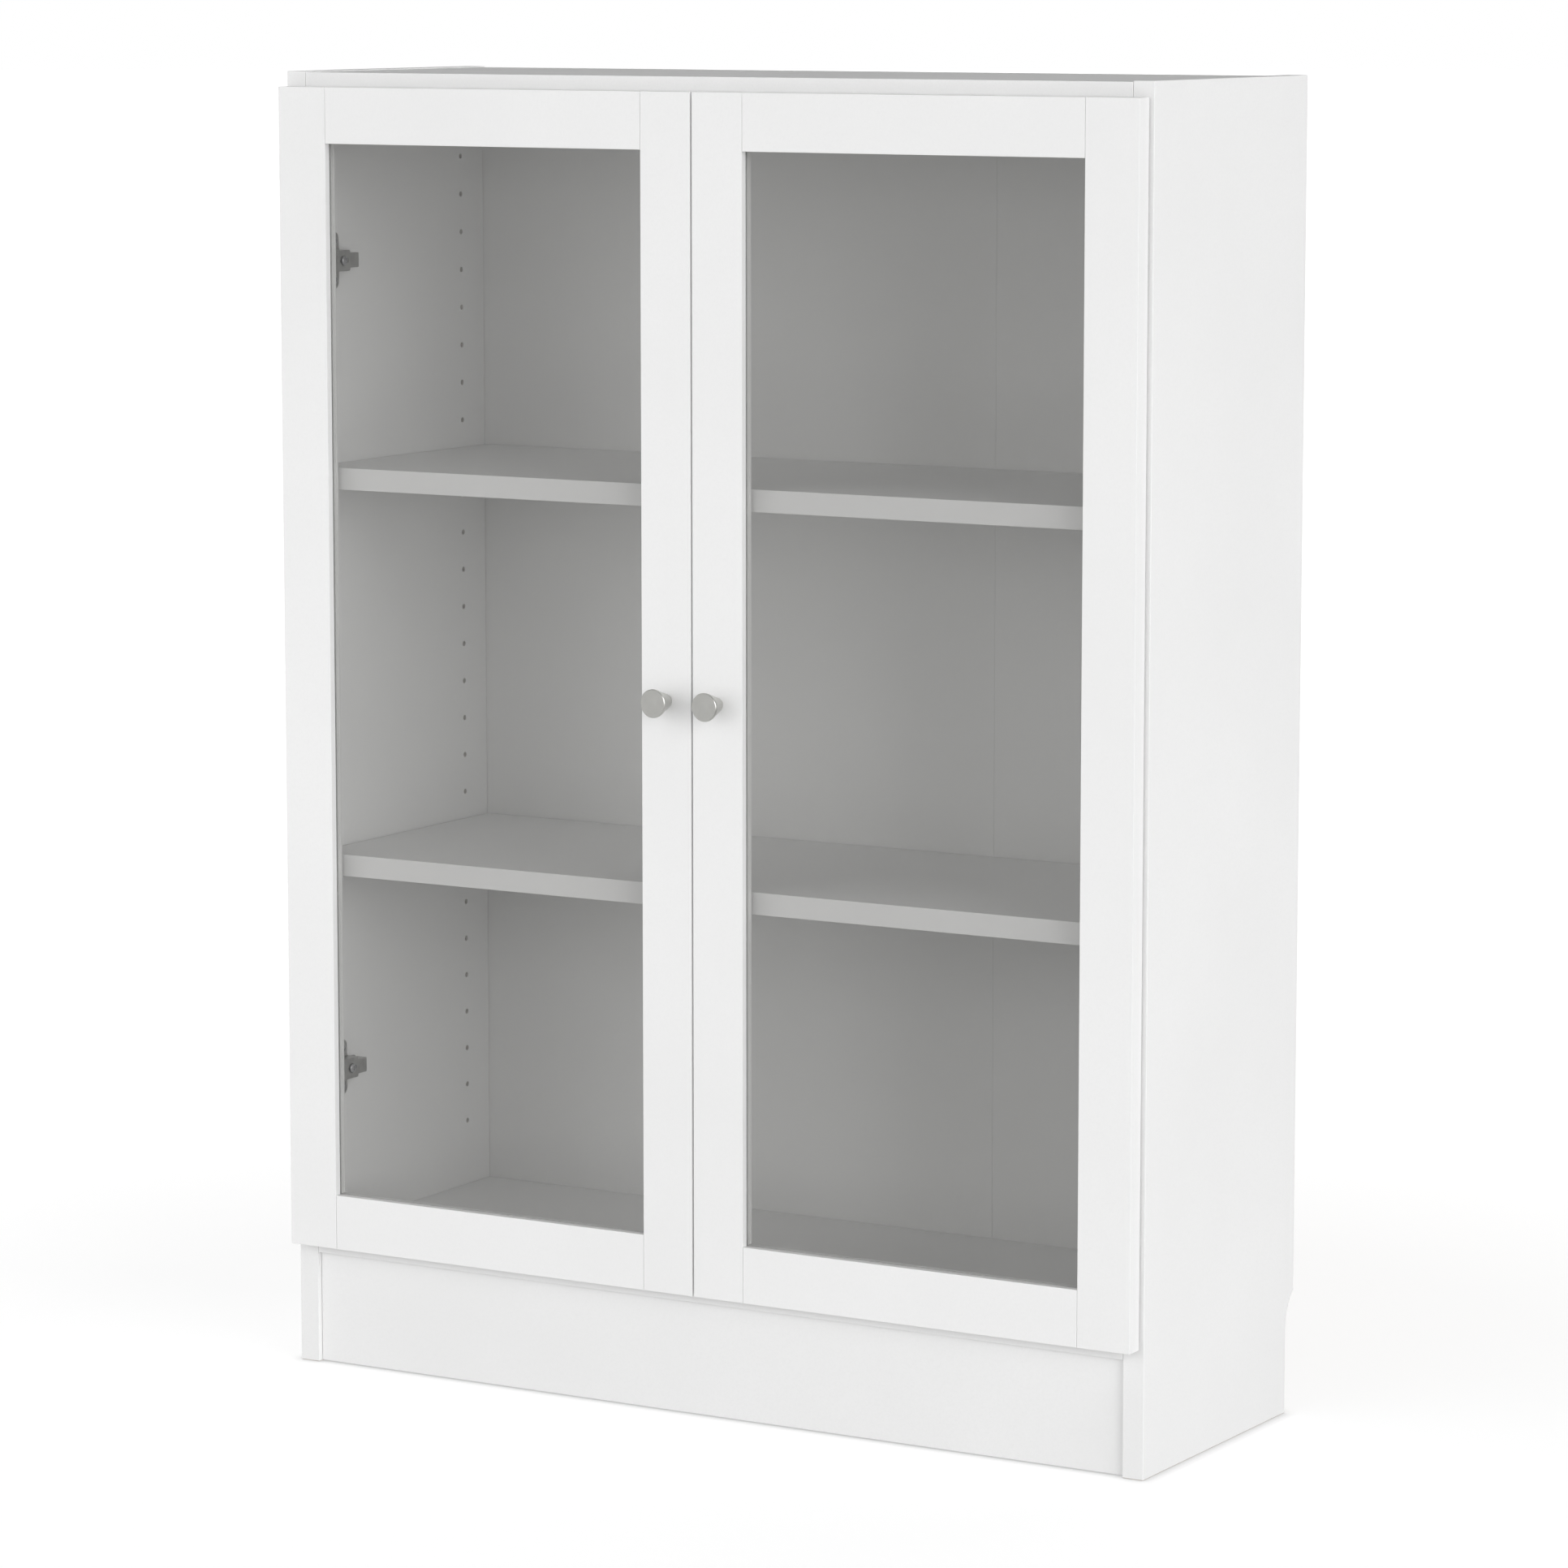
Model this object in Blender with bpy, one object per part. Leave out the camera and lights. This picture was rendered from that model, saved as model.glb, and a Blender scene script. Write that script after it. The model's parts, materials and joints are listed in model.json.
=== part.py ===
"""Two-door glazed bookcase on a plinth, built from 18 mm foil-covered board.

A carcass of two side panels, a top, a bottom, a plinth and a thin back in three leaves holds two
shelves on concealed pins. Two overlay doors, each a framed pane of clear glass with a tapered metal
knob, hang on concealed cup hinges. Each hinge is an arm on a cross-shaped plate, a curved lever and a
cup let into the door. The lever turns on the arm while the door turns on the lever.

Units are metres, +Z is up, +Y runs from the front to the back and +X to the viewer's right.
The origin is under the middle of the whole object's box, on the floor.
"""

import math

import bmesh
import bpy
from mathutils import Vector

MM = 0.001

# ---------------------------------------------------------------- driving dimensions, in millimetres
WIDTH = 792.0  # over the side panels
HEIGHT = 1074.0  # side panels
DEPTH = 265.0  # side panels, front edge to back edge
BOARD = 18.0  # carcass board
GAP = 0.3  # clearance between pieces that touch

TOP_RECESS = 0.8  # the top panel's face below the side panels' top edges
BOTTOM_TOP = 111.2  # height of the bottom panel's upper face
PLINTH_RECESS = 4.3
PLINTH_TOP = 92.4
PLINTH_LIFT = 0.6

BACK_FRONT = 262.4  # front face of the back leaves
BACK_T = 2.5
BACK_LAP = 8.7  # how far the back runs into the side panels' rebates
BACK_LOW = 101.5
BACK_SEAM = 120.6  # the two seams stand this far each side of the middle
REBATE_DEPTH = 9.0

SKIRT_CUT = 13.9  # skirting notch at the back of the side panels
SKIRT_STRAIGHT = 69.0
SKIRT_RADIUS = 40.0

PIN_PITCH = 32.0
PIN_ROWS = (37.0, 228.0)  # distance of the two hole rows from the front edge
PIN_TOP = 999.0
PIN_COUNT = 27
HOLE_R = 2.6
HOLE_DEPTH = 10.0
HOLE_SIDES = 8
PIN_R = 2.1
PIN_OUT = 8.0
PIN_IN = 8.6

SHELF_PIN_ROWS_UPPER = 8  # which hole, counted from the top, carries each shelf
SHELF_PIN_ROWS_LOWER = 18
SHELF_FRONT = 1.0
SHELF_BACK = 261.6
SHELF_END_GAP = 1.0

DOOR_T = 16.0
DOOR_GAP = 1.8  # between the doors' back faces and the carcass
DOOR_INSET = 3.6  # door edge inside the side panel's outer face
DOOR_SPLIT = 1.8  # between the doors
DOOR_TOP = 1061.7
DOOR_BOTTOM = 102.7
MEMBER = 45.5  # width of stiles and rails
LIP = 6.1  # depth of the frame in front of the glass
GLASS_T = 3.0
GLASS_REBATE = 8.0
GLASS_LAP = 6.8
BEAD_STEP = 3.3
BEAD_SETBACK = 0.8

KNOB_R = 11.35
KNOB_BASE_R = 5.7
KNOB_OUT = 20.9
KNOB_BORE_R = 2.3
KNOB_FROM_EDGE = MEMBER / 2

HINGE_HEIGHTS = (245.0, 919.0)
CUP_R = 13.0
CUP_WALL = 0.8
CUP_DEEP = 11.2
CUP_EDGE = 5.0  # door edge to the rim of the cup
FLANGE_HALF = 24.0
ARM_PIVOT = (12.0, -1.2)  # lever axis on the arm: distance in from the side panel, distance behind the front edge
CUP_PIVOT = (-4.5, -5.1)  # lever axis in the cup, doors closed
LEVER_BENDS = ((-4.8, -9.5), (3.5, -9.8))
LEVER_HALF_T = 1.0
LEVER_HALF_H = 3.0
EYE_R = 1.9
RIVET_R = 1.0
RIVET_BORE_R = 1.4

INNER = WIDTH / 2 - BOARD  # half the clear width
DOOR_BACK = -DOOR_GAP
DOOR_FRONT = DOOR_BACK - DOOR_T
KNOB_FRONT = DOOR_FRONT - KNOB_OUT
Y_MID = (DEPTH + KNOB_FRONT) / 2  # puts the origin under the middle of the box
TOP_FACE = HEIGHT - TOP_RECESS


# ---------------------------------------------------------------- helpers
def clear_scene():
    for old in list(bpy.data.objects):
        bpy.data.objects.remove(old, do_unlink=True)


def material(name, colour, roughness, metallic=0.0, alpha=1.0, transmission=0.0):
    made = bpy.data.materials.new(name)
    made.use_nodes = True
    shader = made.node_tree.nodes["Principled BSDF"]
    shader.inputs["Base Color"].default_value = (*colour, 1.0)
    shader.inputs["Roughness"].default_value = roughness
    shader.inputs["Metallic"].default_value = metallic
    shader.inputs["Alpha"].default_value = alpha
    shader.inputs["Transmission Weight"].default_value = transmission
    made.diffuse_color = (*colour, alpha)
    return made


def world(x, y, z):
    return Vector((x * MM, (y - Y_MID) * MM, z * MM))


def place(bm, name, mat, parent=None, smooth=False, origin=None):
    """Turns a bmesh in world coordinates into an object whose origin is its middle, or a given point."""
    bmesh.ops.recalc_face_normals(bm, faces=bm.faces)
    lo = Vector([min(v.co[i] for v in bm.verts) for i in range(3)])
    hi = Vector([max(v.co[i] for v in bm.verts) for i in range(3)])
    origin = origin or (lo + hi) / 2
    bmesh.ops.translate(bm, vec=-origin, verts=bm.verts)
    mesh = bpy.data.meshes.new(name)
    bm.to_mesh(mesh)
    bm.free()
    if smooth:
        mesh.shade_smooth()
        mesh.set_sharp_from_angle(angle=math.radians(32))
    obj = bpy.data.objects.new(name, mesh)
    bpy.context.scene.collection.objects.link(obj)
    obj.location = origin
    if parent:
        obj.parent = parent
        obj.location = origin - parent.location
    if mat:
        mesh.materials.append(mat)
    return obj


def box_into(bm, x0, x1, y0, y1, z0, z1):
    corners = [world(x, y, z) for z in (z0, z1) for y in (y0, y1) for x in (x0, x1)]
    made = bmesh.ops.create_cube(bm, size=1.0)["verts"]
    order = sorted(made, key=lambda v: (v.co.z, v.co.y, v.co.x))
    pairs = sorted(corners, key=lambda c: (c.z, c.y, c.x))
    for vert, corner in zip(order, pairs):
        vert.co = corner
    return made


def box(name, x0, x1, y0, y1, z0, z1, mat=None, parent=None, bevel=0.0):
    x0, x1 = min(x0, x1), max(x0, x1)
    bm = bmesh.new()
    box_into(bm, x0, x1, y0, y1, z0, z1)
    obj = place(bm, name, mat, parent)
    if bevel:
        soften(obj, bevel)
    return obj


def soften(obj, width, segments=2):
    """A small round on every sharp edge, as a foil-wrapped or edge-banded board has."""
    mod = obj.modifiers.new("edge_round", "BEVEL")
    mod.width = width * MM
    mod.segments = segments
    mod.limit_method = "ANGLE"
    mod.angle_limit = math.radians(40)
    mod.harden_normals = False
    return mod


def prism(name, outline, low, high, axis, mat=None, parent=None):
    """Extrudes an outline between two positions on an axis. The outline is (y, z) along X, (x, z) along Y or (x, y) along Z."""
    bm = bmesh.new()
    points = []
    for a, b in outline:
        points.append({"X": (low, a, b), "Y": (a, low, b), "Z": (a, b, low)}[axis])
    face = bm.faces.new([bm.verts.new(world(*p)) for p in points])
    made = bmesh.ops.extrude_face_region(bm, geom=[face])["geom"]
    step = {"X": (high - low, 0, 0), "Y": (0, high - low, 0), "Z": (0, 0, high - low)}[axis]
    bmesh.ops.translate(
        bm, vec=Vector(step) * MM, verts=[g for g in made if isinstance(g, bmesh.types.BMVert)]
    )
    return place(bm, name, mat, parent)


def ring(bm, centre, axis, radius, at, sides, turn=0.0):
    """One circle of vertices round an axis through centre, at a distance along it."""
    made = []
    for i in range(sides):
        a = turn + 2 * math.pi * i / sides
        p, q = radius * math.cos(a), radius * math.sin(a)
        x, y, z = centre
        point = {
            "X": (x + at, y + p, z + q),
            "Y": (x + p, y + at, z + q),
            "Z": (x + p, y + q, z + at),
        }[axis]
        made.append(bm.verts.new(world(*point)))
    return made


def turned_into(bm, centre, axis, profile, sides, turn=0.0):
    """Turns a closed profile of (radius, distance along the axis) pairs; a radius of 0 is a point on the axis."""
    rings = []
    for radius, at in profile:
        if radius <= 0:
            x, y, z = centre
            point = {"X": (x + at, y, z), "Y": (x, y + at, z), "Z": (x, y, z + at)}[axis]
            rings.append([bm.verts.new(world(*point))])
        else:
            rings.append(ring(bm, centre, axis, radius, at, sides, turn))
    for lower, upper in zip(rings, rings[1:]):
        for i in range(sides):
            j = (i + 1) % sides
            if len(lower) == 1:
                bm.faces.new((lower[0], upper[i], upper[j]))
            elif len(upper) == 1:
                bm.faces.new((lower[i], lower[j], upper[0]))
            else:
                bm.faces.new((lower[i], lower[j], upper[j], upper[i]))


def turned(name, centre, axis, profile, sides, mat=None, parent=None, turn=0.0):
    bm = bmesh.new()
    turned_into(bm, centre, axis, profile, sides, turn)
    return place(bm, name, mat, parent, smooth=True)


def rod_into(bm, centre, axis, radius, low, high, sides, turn=0.0):
    turned_into(bm, centre, axis, [(0, low), (radius, low), (radius, high), (0, high)], sides, turn)


def helper(bm, name):
    """A shape that only cuts or joins: it isn't part of the object."""
    obj = place(bm, name, None)
    obj.hide_render = True
    obj.display_type = "WIRE"
    return obj


def boolean(obj, other, operation="DIFFERENCE"):
    mod = obj.modifiers.new(operation.lower() + "_" + other.name, "BOOLEAN")
    mod.operation = operation
    mod.solver = "EXACT"
    mod.object = other
    return mod


def pivot(name, x, y, z):
    """An empty on a joint's axis, which carries the pieces that turn about it."""
    axis = bpy.data.objects.new(name, None)
    axis.empty_display_type = "SINGLE_ARROW"
    axis.empty_display_size = 0.05
    axis.location = world(x, y, z)
    bpy.context.scene.collection.objects.link(axis)
    return axis


# ---------------------------------------------------------------- materials
clear_scene()
WHITE_BOARD = material("white_board_foil", (0.86, 0.86, 0.85), 0.48)
WHITE_DOOR = material("white_door_foil", (0.87, 0.87, 0.86), 0.42)
WHITE_BACK = material("white_back_foil", (0.78, 0.78, 0.77), 0.6)
WHITE_BEAD = material("white_bead_plastic", (0.78, 0.78, 0.78), 0.5)
CLEAR_GLASS = material("clear_glass", (0.92, 0.95, 0.94), 0.02, alpha=0.25, transmission=1.0)
NICKEL = material("brushed_nickel", (0.62, 0.61, 0.58), 0.32, metallic=1.0)
HINGE_STEEL = material("plated_hinge_steel", (0.45, 0.45, 0.45), 0.35, metallic=1.0)
PIN_STEEL = material("zinc_pin_steel", (0.6, 0.6, 0.6), 0.35, metallic=1.0)


# ---------------------------------------------------------------- carcass
def side_panel(side):
    """One side panel, with its skirting notch, back rebate and two rows of shelf-pin holes. side is -1 for left, 1 for right."""
    label = "left" if side < 0 else "right"
    x0, x1 = side * INNER, side * WIDTH / 2
    notch = DEPTH - SKIRT_CUT
    outline = [(0, 0), (notch, 0), (notch, SKIRT_STRAIGHT)]
    reach = math.acos(1 - SKIRT_CUT / SKIRT_RADIUS)
    steps = 7
    for i in range(1, steps + 1):
        a = reach * i / steps
        outline.append(
            (
                notch + SKIRT_RADIUS * (1 - math.cos(a)),
                SKIRT_STRAIGHT + SKIRT_RADIUS * math.sin(a),
            )
        )
    outline += [(DEPTH, HEIGHT), (0, HEIGHT)]
    panel = prism("side_panel_" + label, outline, min(x0, x1), max(x0, x1), "X", WHITE_BOARD)
    soften(panel, 0.9)

    bm = bmesh.new()
    inner = side * INNER
    box_into(
        bm,
        *sorted((inner - side * 2.0, inner + side * REBATE_DEPTH)),
        BACK_FRONT - GAP,
        DEPTH + 2.0,
        BACK_LOW - 1.0,
        TOP_FACE - GAP,
    )
    boolean(panel, helper(bm, "cutter_back_rebate_" + label))

    bm = bmesh.new()
    for row in PIN_ROWS:
        for n in range(PIN_COUNT):
            centre = (inner, row, PIN_TOP - PIN_PITCH * n)
            low, high = sorted((-side * 2.0, side * HOLE_DEPTH))
            rod_into(bm, centre, "X", HOLE_R, low, high, HOLE_SIDES, math.pi / HOLE_SIDES)
    boolean(panel, helper(bm, "cutter_pin_holes_" + label))
    return panel


def shelf(name, hole):
    """A loose shelf whose end slots drop over the pins in one row of holes."""
    centre = PIN_TOP - PIN_PITCH * hole
    low, high = centre - BOARD / 2, centre + BOARD / 2
    half = INNER - SHELF_END_GAP
    board = box(name, -half, half, SHELF_FRONT, SHELF_BACK, low, high, WHITE_BOARD, bevel=0.8)
    bm = bmesh.new()
    for side in (-1, 1):
        for row in PIN_ROWS:
            x0, x1 = sorted((side * (half + 1.0), side * (half - PIN_OUT)))
            box_into(bm, x0, x1, row - 2.8, row + 2.8, low - 1.0, centre + PIN_R + GAP)
    boolean(board, helper(bm, "cutter_slots_" + name))
    for side, label in ((-1, "left"), (1, "right")):
        for row, end in zip(PIN_ROWS, ("front", "back")):
            low_x, high_x = sorted((-side * (PIN_OUT - 1.0), side * PIN_IN))
            turned(
                f"{name}_pin_{label}_{end}",
                (side * INNER, row, centre),
                "X",
                [(0, low_x), (PIN_R, low_x), (PIN_R, high_x), (0, high_x)],
                HOLE_SIDES,
                PIN_STEEL,
                turn=math.pi / HOLE_SIDES,
            )
    return board


for which in (-1, 1):
    side_panel(which)
SPAN = INNER - GAP
box("top_panel", -SPAN, SPAN, 0, BACK_FRONT - GAP, TOP_FACE - BOARD, TOP_FACE, WHITE_BOARD, bevel=0.8)
box("bottom_panel", -SPAN, SPAN, 0, BACK_FRONT - GAP, BOTTOM_TOP - BOARD, BOTTOM_TOP, WHITE_BOARD, bevel=0.8)
box(
    "plinth_board",
    -SPAN,
    SPAN,
    PLINTH_RECESS,
    PLINTH_RECESS + BOARD,
    PLINTH_LIFT,
    PLINTH_TOP,
    WHITE_BOARD,
    bevel=0.8,
)
BACK_EDGES = [-INNER - BACK_LAP, -BACK_SEAM, BACK_SEAM, INNER + BACK_LAP]
for label, left, right in zip(("left", "centre", "right"), BACK_EDGES, BACK_EDGES[1:]):
    box(
        "back_panel_" + label,
        left + (0.25 if label != "left" else 0),
        right - (0.25 if label != "right" else 0),
        BACK_FRONT,
        BACK_FRONT + BACK_T,
        BACK_LOW,
        TOP_FACE - 1.0,
        WHITE_BACK,
    )
shelf("shelf_upper", SHELF_PIN_ROWS_UPPER)
shelf("shelf_lower", SHELF_PIN_ROWS_LOWER)


# ---------------------------------------------------------------- hinges
def inward(side, u):
    """World x of a point u millimetres inside the side panel's inner face."""
    return side * (INNER - u)


def hinge_plate(name, side, z):
    """A cross-shaped mounting plate: two wings, a base and the block that the arm clips over."""
    quarter = [(16.0, 8.0), (27.0, 8.0), (27.0, 21.0), (30.0, 24.0), (44.5, 24.0), (47.5, 21.0), (47.5, 8.0), (56.0, 8.0)]
    outline = [(y, z - dz) for y, dz in quarter] + [(y, z + dz) for y, dz in quarter[::-1]]
    plate = prism(name, outline, *sorted((inward(side, 0.3), inward(side, 2.0))), "X", HINGE_STEEL)
    bm = bmesh.new()
    box_into(bm, *sorted((inward(side, 1.0), inward(side, 8.6))), 19.0, 45.5, z - 5.8, z + 5.8)
    boolean(plate, helper(bm, "joined_block_" + name), "UNION")
    return plate


def hinge_arm(name, side, z):
    """A channel-shaped arm, wide in front and narrow behind, with two ears that hold the lever's rivet."""
    roof, under = 11.5, 9.9
    outline = [
        (5.0, z - 9.0),
        (47.0, z - 9.0),
        (48.5, z - 6.5),
        (58.5, z - 6.5),
        (58.5, z + 6.5),
        (48.5, z + 6.5),
        (47.0, z + 9.0),
        (5.0, z + 9.0),
    ]
    arm = prism(name, outline, *sorted((inward(side, 2.4), inward(side, roof))), "X", HINGE_STEEL)
    soften(arm, 0.7, 1)
    inside = [
        (3.0, z - 7.4),
        (46.5, z - 7.4),
        (47.2, z - 4.9),
        (57.0, z - 4.9),
        (57.0, z + 4.9),
        (47.2, z + 4.9),
        (46.5, z + 7.4),
        (3.0, z + 7.4),
    ]
    hollow = prism("cutter_channel_" + name, inside, *sorted((inward(side, 0.5), inward(side, under))), "X")
    hollow.hide_render = True
    hollow.display_type = "WIRE"
    boolean(arm, hollow)
    a, b = ARM_PIVOT
    for sign in (-1, 1):
        bm = bmesh.new()
        low, high = sorted((z + sign * 3.4, z + sign * 5.6))
        box_into(bm, *sorted((inward(side, a - 2.4), inward(side, a + 2.4))), b, 8.0, low, high)
        boolean(arm, helper(bm, f"joined_ear_{name}_{'low' if sign < 0 else 'high'}"), "UNION")
        bm = bmesh.new()
        rod_into(bm, (inward(side, a), b, 0), "Z", 2.4, low, high, 16)
        boolean(arm, helper(bm, f"joined_eye_{name}_{'low' if sign < 0 else 'high'}"), "UNION")
    bm = bmesh.new()
    rod_into(bm, (inward(side, a), b, z), "Z", RIVET_BORE_R, -7.0, 7.0, 12)
    boolean(arm, helper(bm, "cutter_rivet_" + name))
    bm = bmesh.new()
    rod_into(bm, (inward(side, roof), 37.0, z), "X", 2.5, -4.0, 4.0, 12)
    boolean(arm, helper(bm, "cutter_screw_" + name))
    return arm


def arm_screw(name, side, z):
    """The fixing screw through the arm's roof, with a domed head and a cross recess."""
    out = -side  # the head faces the middle of the cabinet
    x = inward(side, 11.5)
    profile = [
        (0, -2.5 * out),
        (1.95, -2.5 * out),
        (1.95, 0.35 * out),
        (3.8, 0.35 * out),
        (3.8, 1.2 * out),
        (2.6, 2.0 * out),
        (0, 2.3 * out),
    ]
    screw = turned(name, (x, 37.0, z), "X", profile, 16, HINGE_STEEL)
    bm = bmesh.new()
    x0, x1 = sorted((x + 1.1 * out, x + 4.0 * out))
    box_into(bm, x0, x1, 37.0 - 1.9, 37.0 + 1.9, z - 0.45, z + 0.45)
    boolean(screw, helper(bm, "cutter_slot_" + name))
    bm = bmesh.new()
    box_into(bm, x0, x1, 37.0 - 0.45, 37.0 + 0.45, z - 1.9, z + 1.9)
    boolean(screw, helper(bm, "cutter_cross_" + name))
    return screw


def lever_outline(side):
    """The lever's bent bar in plan: a strip of constant thickness along its centre line, with mitred bends."""
    line = [Vector(CUP_PIVOT), *map(Vector, LEVER_BENDS), Vector(ARM_PIVOT)]
    left, right = [], []
    for i, point in enumerate(line):
        before = (point - line[i - 1]).normalized() if i else None
        after = (line[i + 1] - point).normalized() if i + 1 < len(line) else None
        first, second = before or after, after or before
        normal = Vector((-(first + second).y, (first + second).x)).normalized()
        square = Vector((-first.y, first.x))
        width = LEVER_HALF_T / max(0.4, normal.dot(square))
        left.append(point + normal * width)
        right.append(point - normal * width)
    return [(inward(side, p.x), p.y) for p in left + right[::-1]]


def lever(name, side, z, parent):
    """The curved lever between the arm and the cup, with an eye and a rivet at each end."""
    bar = prism(name, lever_outline(side), z - LEVER_HALF_H, z + LEVER_HALF_H, "Z", HINGE_STEEL, parent)
    for spot, (u, v), reach in (("arm", ARM_PIVOT, 5.3), ("cup", CUP_PIVOT, 5.7)):
        for part, radius, half in (("eye", EYE_R, LEVER_HALF_H), ("rivet", RIVET_R, reach)):
            bm = bmesh.new()
            rod_into(bm, (inward(side, u), v, z), "Z", radius, -half, half, 12 if part == "rivet" else 16)
            boolean(bar, helper(bm, f"joined_{part}_{spot}_{name}"), "UNION")
    return bar


def hinge_cup(name, side, z, parent):
    """A shallow cup let into the back of the door, with an oblong flange and two lugs for the lever's rivet."""
    u0 = -BOARD + DOOR_INSET + CUP_EDGE + CUP_R  # the cup's middle
    centre = (inward(side, u0), 0, z)
    floor = DOOR_BACK - CUP_DEEP
    rim = DOOR_BACK + 1.2
    lid = rim - 0.35  # the cup's own wall ends inside the flange's thickness
    cup = turned(name, centre, "Y", [(0, floor), (CUP_R, floor), (CUP_R, lid), (0, lid)], 28, HINGE_STEEL, parent)
    outline = []
    half_w, h = 8.5, FLANGE_HALF
    for sx, sz in ((1, 1), (-1, 1), (-1, -1), (1, -1)):
        corner = [(half_w, h - 3.0), (half_w - 3.0, h)]
        if sx * sz < 0:
            corner.reverse()
        outline += [(inward(side, u0 + 2.5) - side * sx * cx, z + sz * cz) for cx, cz in corner]
    plate = prism("joined_flange_" + name, outline, DOOR_BACK + GAP, rim, "Y")
    plate.hide_render = True
    plate.display_type = "WIRE"
    boolean(cup, plate, "UNION")
    bm = bmesh.new()
    rod_into(bm, centre, "Y", CUP_R - CUP_WALL, floor + CUP_WALL, rim + 2.0, 28)
    boolean(cup, helper(bm, "cutter_well_" + name))
    u, v = CUP_PIVOT
    for sign in (-1, 1):
        bm = bmesh.new()
        low, high = sorted((z + sign * 3.6, z + sign * 6.0))
        x0, x1 = sorted((inward(side, u - 2.5), inward(side, u + 2.5)))
        box_into(bm, x0, x1, floor + CUP_WALL / 2, v + 2.4, low, high)
        boolean(cup, helper(bm, f"joined_lug_{name}_{'low' if sign < 0 else 'high'}"), "UNION")
    bm = bmesh.new()
    rod_into(bm, (inward(side, u), v, z), "Z", RIVET_BORE_R, -6.6, 6.6, 12)
    boolean(cup, helper(bm, "cutter_rivet_" + name))
    return cup


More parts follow.
